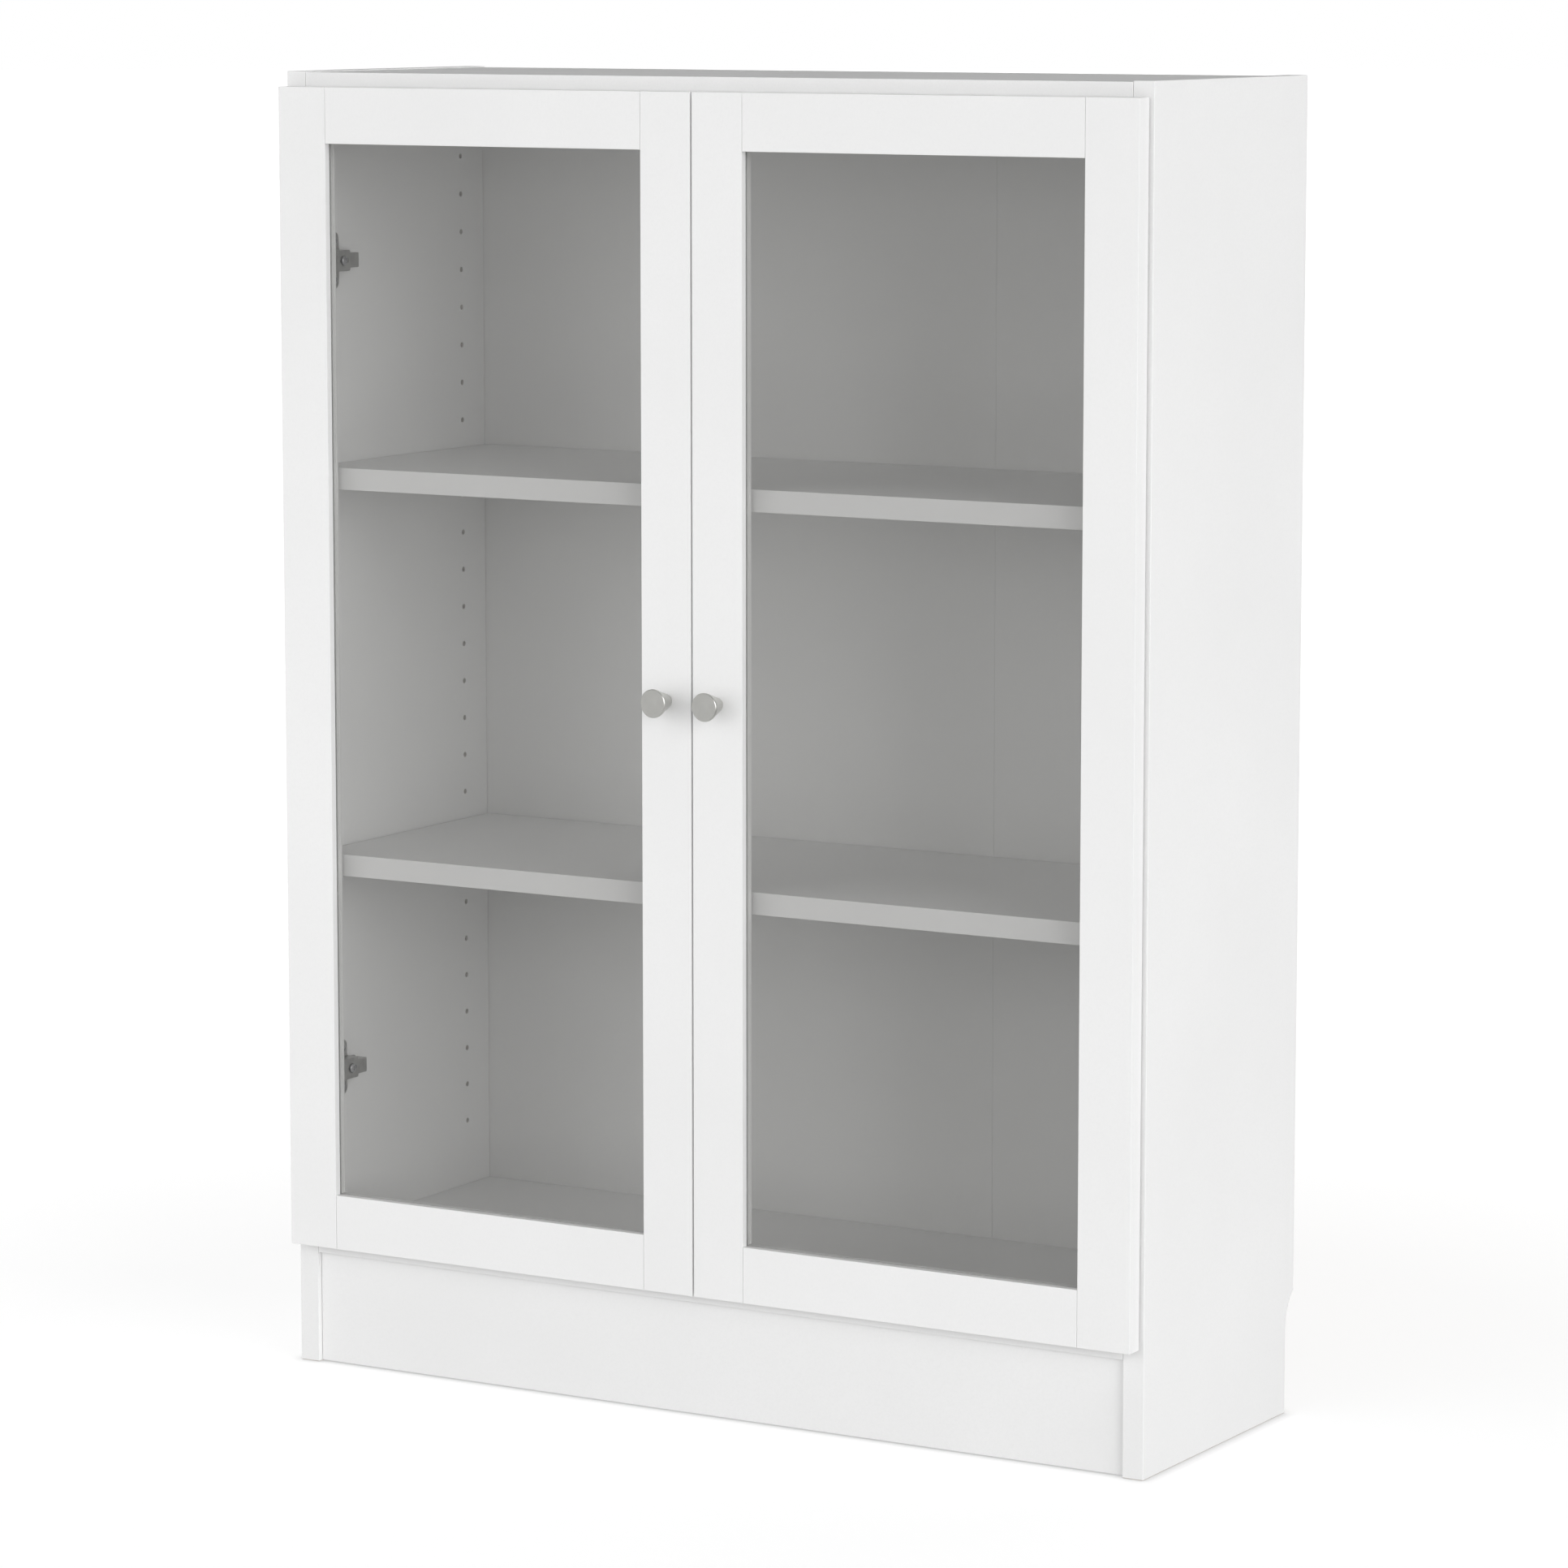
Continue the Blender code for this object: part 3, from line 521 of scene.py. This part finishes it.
def shelf(name):
    x0, x1, y0, y1, z0, z1 = limits(name)
    board = made(name + "_board", block(x0, x1, y0, y1, z0, z1), FOIL, CORE)
    rounded(board, 0.5, 3)
    slots = [
        block(side * (x1 + 1.0), side * (x1 - 8.0), row - 2.8, row + 2.8, z0 - 1.0, (z0 + z1) / 2 + 2.4)
        for side in (-1, 1)
        for row in PIN_ROWS
    ]
    cut(board, *slots, mat=CORE)
    finished(smooth(board), name)


for side, label in SIDES:
    side_panel(side, label)
plain_board("top_panel", [FOIL])
plain_board("bottom_panel", [FOIL])
plain_board("plinth_board", [FOIL])
for which in ("left", "centre", "right"):
    x0, x1, y0, y1, z0, z1 = limits("back_panel_" + which)
    x0, x1 = x0 - (0.2 if which != "left" else 0), x1 + (0.2 if which != "right" else 0)
    leaf = made(f"back_panel_{which}_leaf", block(x0, x1, y0, y1, z0, z1), BACK_FOIL, REAR)
    rounded(leaf, 0.12, 2)
    repaint(leaf, 1, lambda f: f.normal.y > 0.5 or abs(f.normal.z) > 0.6)
    finished(smooth(leaf), "back_panel_" + which)
for which in ("upper", "lower"):
    shelf("shelf_" + which)


# ---------------------------------------------------------------- doors
DOOR_X0, DOOR_X1, DOOR_FRONT, DOOR_BACK, DOOR_LOW, DOOR_HIGH = limits("door_right_outer_stile")
MEMBER = DOOR_X1 - DOOR_X0
LIP, REBATE = 6.1, 8.0
HINGE_HEIGHTS = ((245.0, "lower"), (919.0, "upper"))


def door(side, label):
    name = f"door_{label}_"
    outer = limits(name + "outer_stile")[0 if side < 0 else 1]
    inner = limits(name + "inner_stile")[1 if side < 0 else 0]
    open_outer, open_inner = outer - side * MEMBER, inner + side * MEMBER
    open_low, open_high = DOOR_LOW + MEMBER, DOOR_HIGH - MEMBER

    def rebate():
        return block(
            open_outer + side * REBATE,
            open_inner - side * REBATE,
            DOOR_FRONT + LIP,
            DOOR_BACK + 2.0,
            open_low - REBATE,
            open_high + REBATE,
        )

    def member(which, edge):
        piece = made(name + which + "_board", block(*limits(name + which)), DOOR_FOIL, CORE)
        return rounded(piece, edge, 3)

    stile = member("outer_stile", 0.3)
    cut(stile, rebate())
    bores = bmesh.new()
    cup_x = outer - side * 18.0
    for z, _ in HINGE_HEIGHTS:
        rod((cup_x, DOOR_BACK, z), "Y", 13.3, -11.5, 3.0, 64, bores)
    cut(stile, bores, mat=CORE)
    finished(smooth(stile), name + "outer_stile")

    stile = member("inner_stile", 0.3)
    cut(stile, rebate())
    knob_x, knob_z = (inner + open_inner) / 2, (DOOR_LOW + DOOR_HIGH) / 2
    cut(stile, rod((knob_x, DOOR_FRONT, knob_z), "Y", 2.3, -2.0, 20.0, 24), mat=CORE)
    finished(smooth(stile), name + "inner_stile")

    for which in ("top_rail", "bottom_rail"):
        rail = member(which, 0.3)
        cut(rail, rebate())
        finished(smooth(rail), name + which)

    pane = made(name + "glass_pane", block(*limits(name + "glass")), GLASS)
    rounded(pane, 0.4, 2)
    finished(smooth(pane), name + "glass")

    beads(label)
    knob(side, label, knob_x, knob_z)
    for z, where in HINGE_HEIGHTS:
        hinge(side, label, where, z)


def beads(label):
    """Glazing beads: a soft lip that bears on the pane, a fine groove along it and a rounded rear edge."""
    name = f"door_{label}_bead_"
    for which, axis, away in (("bottom", "X", -1), ("top", "X", 1), ("outer", "Z", None), ("inner", "Z", None)):
        x0, x1, y0, y1, z0, z1 = limits(name + which)
        if axis == "X":
            edge, root, low, high = (z1, z0, x0, x1) if away < 0 else (z0, z1, x0, x1)
        else:
            toward_right = (label == "right") == (which == "outer")
            edge, root, low, high = (x0, x1, z0, z1) if toward_right else (x1, x0, z0, z1)
        back = 1 if root > edge else -1
        section = [
            (root, y0),
            (edge, y0),
            (edge, y0 + 3.0),
            (edge + back * 0.4, y0 + 3.3),
            (edge + back * 0.4, y0 + 3.6),
            (edge, y0 + 3.9),
            (edge, y1),
            (root, y1),
        ]
        section = filleted(section, [0.2, 0.3, 0.12, 0.1, 0.1, 0.12, 0.7, 0.2], 5)
        if axis == "X":
            section = [(b, a) for a, b in section]
        piece = made(name + which + "_strip", prism(section, low, high, axis), BEAD)
        finished(smooth(piece, 40), name + which)


def knob(side, label, x, z):
    """A flared knob: narrow at the door, widest at its flat face, with a fine turned edge."""
    name = f"door_{label}_knob"
    face = (DOOR_FRONT - limits(name)[2])
    base_r, face_r = 5.7, 11.35
    profile = [(0, -10.0), (2.3, -10.0), (2.3, -0.3), (5.1, -0.3), (5.45, -0.4), (5.65, -0.7)]
    flare = 22
    for i in range(flare + 1):
        t = i / flare
        profile.append((base_r + (face_r - base_r) * t, -(0.9 + (face - 2.7) * t)))
    profile += [(face_r, -(face - 1.5)), (face_r, -(face - 0.62)), (face_r - 0.08, -(face - 0.48))]
    profile += [(face_r - 0.36, -(face - 0.12)), (face_r - 0.50, -face), (face_r * 0.6, -face), (face_r * 0.25, -face), (0, -face)]
    piece = made(name + "_turned", lathe((x, DOOR_FRONT, z), "Y", profile, 96), NICKEL)
    centred(piece, x, DOOR_FRONT, z)
    finished(smooth(piece, 32, False), name)
    x0, x1, y0, y1, z0, z1 = limits(name + "_screw")
    screw = made(name + "_screw_turned", pan_screw((x, DOOR_BACK + 0.3, z), "Y", 1, 4.2, 2.2, 1.9, DOOR_BACK + 0.3 - y0), ZINC)
    cross_cut(screw, (x, DOOR_BACK + 0.3, z), "Y", 1, 2.1, 1.0, 3.5)
    finished(smooth(screw, 32, False), name + "_screw")

# ---------------------------------------------------------------- hinges
ARM_PIVOT, CUP_PIVOT = (12.0, -1.2), (-4.5, -5.1)
LEVER_BENDS = ((-4.8, -9.5), (3.5, -9.8))


def filleted(points, radii, steps=4):
    """Rounds each corner of a closed outline with its own radius."""
    if not isinstance(radii, (list, tuple)):
        radii = [radii] * len(points)
    out = []
    for i, radius in enumerate(radii):
        corner = Vector(points[i])
        before, after = Vector(points[i - 1]) - corner, Vector(points[(i + 1) % len(points)]) - corner
        half = before.angle(after) / 2
        reach = min(radius / math.tan(half), before.length * 0.49, after.length * 0.49)
        first, last = corner + before.normalized() * reach, corner + after.normalized() * reach
        radius = reach * math.tan(half)
        middle = corner + (before.normalized() + after.normalized()).normalized() * (radius / math.sin(half))
        p, q = first - middle, last - middle
        turn = p.angle_signed(q)
        for n in range(steps + 1):
            a = -turn * n / steps
            out.append(
                (
                    middle.x + p.x * math.cos(a) - p.y * math.sin(a),
                    middle.y + p.x * math.sin(a) + p.y * math.cos(a),
                )
            )
    return out


def pan_screw(centre, axis, out, head_r, head_h, shank_r, shank, sides=32, into=None):
    """A screw with a low domed head. out is the direction of the head along the axis."""
    profile = [(0, -shank), (shank_r * 0.7, -shank), (shank_r, -shank + 0.6), (shank_r, 0.0), (head_r, 0.0)]
    profile.append((head_r, head_h * 0.3))
    for i in range(1, 7):
        a = math.pi / 2 * i / 6
        profile.append((head_r * math.cos(a) if i < 6 else 0, head_h * (0.3 + 0.7 * math.sin(a))))
    return lathe(centre, axis, [(r, out * h) for r, h in profile], sides, into)


def cross_cut(obj, centre, axis, out, reach, low, high, width=0.85):
    """A cross recess in a screw's head."""
    x, y, z = centre
    shapes = []
    for a, b in ((reach, width / 2), (width / 2, reach)):
        if axis == "X":
            shapes.append(block(x + out * low, x + out * high, y - a, y + a, z - b, z + b))
        else:
            y0, y1 = sorted((y + out * low, y + out * high))
            shapes.append(block(x - a, x + a, y0, y1, z - b, z + b))
    return cut(obj, *shapes)


def hinge(side, label, where, z):
    tag = f"hinge_{label}_{where}_"

    def inward(u):
        return side * (INNER - u)

    # the cross-shaped plate with its block, and the two screws in the row of pin holes
    quarter = [(16.0, 7.6), (28.3, 7.6), (30.4, 10.4), (30.4, 23.5), (43.6, 23.5), (43.6, 10.4), (45.6, 7.6), (56.0, 7.6)]
    outline = [(y, z - dz) for y, dz in quarter] + [(y, z + dz) for y, dz in quarter[::-1]]
    radii = [1.5, 2.0, 2.0, 6.0, 6.0, 2.0, 2.0, 1.5]
    plate = made(tag + "plate_cast", prism(filleted(outline, radii + radii[::-1], 6), *sorted((inward(0.3), inward(2.0))), "X"), STEEL)
    rounded(plate, 0.35, 2, 50)
    cut(plate, block(inward(1.0), inward(8.6), 19.0, 45.5, z - 5.8, z + 5.8), operation="UNION")
    finished(smooth(plate, 35), tag + "plate")
    wing = bmesh.new()
    for dz in (-16.0, 16.0):
        pan_screw((inward(2.0), 37.2, z + dz), "X", -side, 3.6, 1.9, 2.4, 9.0, 32, wing)
    screws = made(tag + "plate_screws", wing, ZINC)
    recesses = [
        block(inward(2.9), inward(5.0), 37.2 - a, 37.2 + a, z + dz - b, z + dz + b)
        for dz in (-16.0, 16.0)
        for a, b in ((2.0, 0.42), (0.42, 2.0))
    ]
    cut(screws, *recesses)
    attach(smooth(screws, 32, False), BODY_OF[tag + "plate"])

    # the stamped arm: a channel with rounded shoulders, a slot for its fixing screw and two ears
    roof, under = 11.5, 9.9
    half = [(5.0, 8.6), (45.9, 8.6), (46.4, 6.1), (58.5, 6.1)]
    outer = [(y, z - dz) for y, dz in half] + [(y, z + dz) for y, dz in half[::-1]]
    arm = made(tag + "arm_stamped", prism(filleted(outer, [2.0, 0.7, 0.2, 0.5, 0.5, 0.2, 0.7, 2.0], 5), *sorted((inward(2.4), inward(roof))), "X"), STEEL)
    rounded(arm, 0.6, 3, 60)
    half = [(3.0, 7.2), (44.7, 7.2), (45.1, 4.8), (57.2, 4.8)]
    inner = [(y, z - dz) for y, dz in half] + [(y, z + dz) for y, dz in half[::-1]]
    cut(arm, prism(filleted(inner, 0.4, 3), *sorted((inward(0.5), inward(under))), "X"))
    a, b = ARM_PIVOT
    for sign in (-1, 1):
        low, high = sorted((z + sign * 3.4, z + sign * 5.6))
        cut(arm, block(inward(a - 2.4), inward(a + 2.4), b, 8.0, low, high), operation="UNION")
        cut(arm, rod((inward(a), b, 0), "Z", 2.4, low, high, 40), operation="UNION")
    slot_outline = arc(34.6, z, 2.5, 90, 270, 12) + arc(41.0, z, 2.5, -90, 90, 12)
    cut(
        arm,
        rod((inward(a), b, z), "Z", 1.4, -7.0, 7.0, 32),
        prism(slot_outline, *sorted((inward(roof + 1), inward(under - 1))), "X"),
        rod((inward(roof), 20.0, z), "X", 2.7, -3.0, 3.0, 32),
    )
    finished(smooth(arm, 35), tag + "arm")

    screw = made(tag + "screw_turned", pan_screw((inward(roof + 0.3), 37.0, z), "X", -side, 3.9, 2.1, 1.95, 2.7), ZINC)
    cross_cut(screw, (inward(roof + 0.3), 37.0, z), "X", -side, 2.1, 0.9, 3.0)
    finished(smooth(screw, 32, False), tag + "screw")
    grub = made(tag + "adjusting_screw", lathe((inward(roof), 20.0, z), "X", [(r, -side * h) for r, h in [(0, -2.7), (1.9, -2.7), (1.9, -0.6), (2.3, -0.6), (2.3, 0.5), (2.0, 0.8), (0, 0.8)]], 32), ZINC)
    cut(grub, block(inward(roof - 0.2), inward(roof + 2.0), 20.0 - 2.6, 20.0 + 2.6, z - 0.35, z + 0.35))
    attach(smooth(grub, 32, False), BODY_OF[tag + "arm"])

    # the bent lever: one outline with a round eye at each end, and a rivet's two ends at each eye
    line = smooth_line([Vector(CUP_PIVOT), *map(Vector, LEVER_BENDS), Vector(ARM_PIVOT)], 2.6)
    eye, opening = 1.9, 148.2
    near = [p for p in line if (p - line[0]).length > 1.7 and (p - line[-1]).length > 1.7]
    path = [line[0], *near, line[-1]]
    sides_of = []
    for before, point, after in zip(path, path[1:], path[2:]):
        along = (after - before).normalized()
        normal = Vector((-along.y, along.x))
        sides_of.append((point + normal, point - normal))

    def eye_arc(end, neighbour):
        out = (end - neighbour).normalized()
        across = Vector((-out.y, out.x))
        turns = [math.radians(opening * (1 - 2 * i / 28)) for i in range(29)]
        return [end + eye * (math.cos(t) * out + math.sin(t) * across) for t in turns]

    ring = [left for left, _ in sides_of] + eye_arc(path[-1], path[-2])
    ring += [right for _, right in sides_of[::-1]] + eye_arc(path[0], path[1])
    bar = made(tag + "lever_bent", prism([(inward(p.x), p.y) for p in ring], z - 3.0, z + 3.0, "Z"), STEEL)
    joined = bmesh.new()
    joined.from_mesh(bar.data)
    for (u, v), reach in ((ARM_PIVOT, 5.3), (CUP_PIVOT, 5.7)):
        for low, high in ((-reach, -2.98), (2.98, reach)):
            rod((inward(u), v, z), "Z", 1.0, low, high, 24, joined)
    bmesh.ops.recalc_face_normals(joined, faces=joined.faces)
    joined.to_mesh(bar.data)
    joined.free()
    finished(smooth(bar, 35), tag + "lever")

    # the cup in the door: a pressed bowl with a rounded flange, and two riveted lugs standing in it
    u0 = 3.6
    centre = (inward(u0), 0, 0)
    floor, rim = DOOR_BACK - 11.2, DOOR_BACK + 1.2
    profile = [(0, floor), (11.4, floor), (12.3, floor + 0.3), (12.85, floor + 0.9), (13.0, floor + 1.8), (13.0, rim - 0.35), (0, rim - 0.35)]
    cup = made(tag + "cup_pressed", lathe(centre, "Y", profile, 64), STEEL)
    x = inward(u0 + 2.5)
    flange = filleted([(x - 8.5, -24.0), (x + 8.5, -24.0), (x + 8.5, 24.0), (x - 8.5, 24.0)], 5.5, 8)
    cut(cup, prism(flange, DOOR_BACK + 0.3, rim, "Y"), operation="UNION")
    well = [(0, floor + 0.8), (10.6, floor + 0.8), (11.7, floor + 1.3), (12.2, floor + 2.4), (12.2, rim + 2), (0, rim + 2)]
    cut(cup, lathe(centre, "Y", well, 64))
    u, v = CUP_PIVOT
    whole = bmesh.new()
    whole.from_mesh(cup.data)
    for sign in (-1, 1):
        low, high = sorted((sign * 3.57, sign * 6.03))
        lug_outline = [(inward(u - 2.13), floor + 0.45), *[(inward(p), q) for p, q in arc(u, v, 2.13, 180, 0, 20)], (inward(u + 2.13), floor + 0.45)]
        lug = made(tag + "lug", prism(lug_outline, low, high, "Z"), STEEL)
        cut(lug, rod((inward(u), v, 0), "Z", 1.25, -7.5, 7.5, 32))
        whole.from_mesh(lug.data)
        bpy.data.objects.remove(lug)
    whole.to_mesh(cup.data)
    whole.free()
    cup.data.transform(Matrix.Translation((0, 0, z * MM)))
    finished(smooth(cup, 35), tag + "cup")
    pair = bmesh.new()
    for dz in (-18.8, 18.8):
        pan_screw((x, rim, z + dz), "Y", 1, 3.2, 1.5, 1.6, 9.0, 32, pair)
    screws = made(tag + "cup_screws", pair, ZINC)
    recesses = [
        block(x - a, x + a, rim + 0.7, rim + 3.0, z + dz - b, z + dz + b)
        for dz in (-18.8, 18.8)
        for a, b in ((1.7, 0.38), (0.38, 1.7))
    ]
    cut(screws, *recesses)
    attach(smooth(screws, 32, False), BODY_OF[tag + "cup"])


def smooth_line(points, radius, steps=6):
    """A bent line with each inner corner turned on an arc."""
    out = [points[0]]
    for before, corner, after in zip(points, points[1:], points[2:]):
        p, q = before - corner, after - corner
        half = p.angle(q) / 2
        reach = min(radius / math.tan(half), p.length * 0.45, q.length * 0.45)
        first, last = corner + p.normalized() * reach, corner + q.normalized() * reach
        for n in range(steps + 1):
            t = n / steps
            out.append(first * (1 - t) ** 2 + corner * 2 * t * (1 - t) + last * t**2)
    return [*out, points[-1]]


for side, label in SIDES:
    door(side, label)

for which in ("upper", "lower"):
    for side, label in SIDES:
        for row, end in zip(PIN_ROWS, ("front", "back")):
            name = f"shelf_{which}_pin_{label}_{end}"
            x0, x1, y0, y1, z0, z1 = limits(name)
            middle = ((x0 + x1) / 2, (y0 + y1) / 2, (z0 + z1) / 2)
            reach, radius = (x1 - x0) / 2, 2.1
            ends = [(0, -reach), (radius - 0.4, -reach), (radius, -reach + 0.4), (radius, reach - 0.4), (radius - 0.4, reach), (0, reach)]
            pin = made(name + "_turned", lathe(middle, "X", ends, 32), ZINC)
            finished(smooth(pin, 32, False), name)

# the nails that hold the thin back in place
nails = bmesh.new()
REAR_FACE = limits("back_panel_centre")[3]
for n in range(8):
    for z in (1064.0, 106.0):
        lathe((-350.0 + 100.0 * n, REAR_FACE, z), "Y", [(0, -2.0), (0.7, -2.0), (0.7, 0.0), (1.7, 0.02), (1.75, 0.15), (1.4, 0.35), (0, 0.4)], 20, nails)
for n in range(9):
    for side in (-1, 1):
        lathe((side * 382.5, REAR_FACE, 150.0 + 108.0 * n), "Y", [(0, -2.0), (0.7, -2.0), (0.7, 0.0), (1.7, 0.02), (1.75, 0.15), (1.4, 0.35), (0, 0.4)], 20, nails)
heads = made("back_nails", nails, ZINC)
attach(smooth(heads, 32, False), "carcass")


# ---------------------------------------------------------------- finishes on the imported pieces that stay
KEPT = {"bead": BEAD, "_knob_screw": ZINC, "hinge_": STEEL, "_pin_": ZINC}
for name, obj in frame["nodes"].items():
    if obj.hide_render:
        continue
    for key, mat in KEPT.items():
        if key in name:
            obj.data.materials.clear()
            obj.data.materials.append(mat)
            break


# ---------------------------------------------------------------- stage, light and camera
def stage():
    """A white floor that glows for the camera: nearly white, with soft shadows from its diffuse part and a painted
    contact shadow round the object's base. The object gets a dimmer bounce from it.
    """
    mat = bpy.data.materials.new("pale_floor")
    mat.use_nodes = True
    tree = mat.node_tree
    tree.nodes.remove(tree.nodes["Principled BSDF"])
    coords = node(tree, "ShaderNodeTexCoord").outputs["Object"]
    distance = node(tree, "ShaderNodeVectorMath", operation="LENGTH")
    tree.links.new(coords, distance.inputs[0])
    bounce = node(tree, "ShaderNodeEmission")
    bounce.inputs["Strength"].default_value = 0.487
    seen = node(tree, "ShaderNodeBsdfDiffuse")
    tree.links.new(
        ramp(tree, noise(tree, coords, 0.8, 2.0), [(0.3, (0.33, 0.33, 0.33)), (0.7, (0.34, 0.34, 0.34))]),
        seen.inputs["Color"],
    )
    glow = node(tree, "ShaderNodeEmission")
    # painted contact shadow: the AO node darkens the floor's glow within 12 mm of the object, down to half where it is
    # fully occluded
    painted_contact_shadow = node(tree, "ShaderNodeAmbientOcclusion", samples=8)
    painted_contact_shadow.inputs["Distance"].default_value = 0.012
    level = node(tree, "ShaderNodeMath", operation="MULTIPLY")
    # the glow is weaker near the middle, 0.775 within 0.7 m, rising to 1.02 by 2.6 m, and is multiplied by the painted
    # contact shadow
    tree.links.new(spread(tree, distance.outputs["Value"], 0.775, 1.02, 0.7, 2.6), level.inputs[0])
    tree.links.new(spread(tree, painted_contact_shadow.outputs["AO"], 0.5, 1.0, 0.3, 1.0), level.inputs[1])
    tree.links.new(level.outputs[0], glow.inputs["Strength"])
    both = node(tree, "ShaderNodeAddShader")
    tree.links.new(seen.outputs[0], both.inputs[0])
    tree.links.new(glow.outputs[0], both.inputs[1])
    path = node(tree, "ShaderNodeLightPath")
    mix = node(tree, "ShaderNodeMixShader")
    tree.links.new(path.outputs["Is Camera Ray"], mix.inputs[0])
    tree.links.new(bounce.outputs[0], mix.inputs[1])
    tree.links.new(both.outputs[0], mix.inputs[2])
    tree.links.new(mix.outputs[0], tree.nodes["Material Output"].inputs["Surface"])
    bm = bmesh.new()
    bmesh.ops.create_circle(bm, cap_ends=True, segments=96, radius=60.0)
    for vert in bm.verts:
        vert.co.z = -0.0004
    made("floor", bm, mat)


def surroundings():
    """A white background that gives only a little light of its own."""
    world = bpy.data.worlds.new("studio")
    bpy.context.scene.world = world
    world.use_nodes = True
    tree = world.node_tree
    light = tree.nodes["Background"]
    light.inputs["Color"].default_value = (1.0, 1.0, 1.0, 1.0)
    light.inputs["Strength"].default_value = 0.06
    white = node(tree, "ShaderNodeBackground")
    white.inputs["Color"].default_value = (1.0, 1.0, 1.0, 1.0)
    white.inputs["Strength"].default_value = 1.0
    path = node(tree, "ShaderNodeLightPath")
    mix = node(tree, "ShaderNodeMixShader")
    tree.links.new(path.outputs["Is Camera Ray"], mix.inputs[0])
    tree.links.new(light.outputs[0], mix.inputs[1])
    tree.links.new(white.outputs[0], mix.inputs[2])
    tree.links.new(mix.outputs[0], tree.nodes["World Output"].inputs["Surface"])


def far_light(name, azimuth, elevation, strength, spread_angle=40.0, mirrored=True):
    """A wide, far, soft light. Azimuth 0 is straight in front of the doors and 90 is over the right side."""
    data = bpy.data.lights.new(name, "SUN")
    data.energy, data.angle = math.pi * strength, math.radians(spread_angle)
    obj = bpy.data.objects.new(name, data)
    bpy.context.scene.collection.objects.link(obj)
    a, e = math.radians(azimuth), math.radians(elevation)
    toward = Vector((math.sin(a) * math.cos(e), -math.cos(a) * math.cos(e), math.sin(e)))
    obj.rotation_euler = toward.to_track_quat("Z", "Y").to_euler()
    obj.visible_glossy = mirrored


def softbox(name, spot, target, size, power):
    data = bpy.data.lights.new(name, "AREA")
    data.shape, data.size, data.size_y, data.energy = "RECTANGLE", size[0], size[1], power
    obj = bpy.data.objects.new(name, data)
    bpy.context.scene.collection.objects.link(obj)
    obj.location = spot
    obj.rotation_euler = (Vector(target) - Vector(spot)).to_track_quat("-Z", "Y").to_euler()
    obj.visible_camera = obj.visible_glossy = obj.visible_transmission = False


stage()
surroundings()
far_light("wide_light_left", -70, 8, 0.28, 120)
far_light("wide_light_front_left", -30, 9, 0.22, 60)
far_light("wide_light_front", 0, 8, 0.05, 60)
far_light("wide_light_front_right", 35, 8, 0.09, 60)
far_light("wide_light_front_right_high", 20, 38, 0.04, 40)
far_light("wide_light_right", 75, 8, 0.87, 60)
far_light("wide_light_overhead", 0, 85, 0.07)
far_light("wide_light_rear", 180, 8, 0.36, mirrored=False)
far_light("wide_light_rear_left", -130, 8, 0.23, mirrored=False)
softbox("softbox_left", (-1.0, FRONT - 1.05, 0.30), (-0.38, FRONT, 0.35), (0.9, 0.9), 2.0)
softbox("softbox_wide_front", (0.6, FRONT - 2.2, 1.15), (-0.1, FRONT, 0.5), (2.6, 0.5), 5.6)
softbox("softbox_low_right", (1.94, FRONT - 1.03, 0.22), (-0.1, FRONT + 0.1, 0.28), (1.2, 0.35), 5.0)
softbox("softbox_low_front", (-0.2, FRONT - 2.2, 0.20), (0.0, FRONT, 0.30), (1.4, 0.35), 2.0)

camera = bpy.data.objects.new("camera", bpy.data.cameras.new("camera"))
bpy.context.scene.collection.objects.link(camera)
camera.location = (2.4117, FRONT - 3.9642, 1.1623)
camera.rotation_euler = (math.radians(90.0 - 7.938), 0.0, math.radians(30.526))
camera.data.sensor_width = 36.0
camera.data.lens = 135.43
camera.data.clip_start, camera.data.clip_end = 0.1, 100.0
bpy.context.scene.camera = camera
bpy.context.scene.view_settings.view_transform = "Standard"
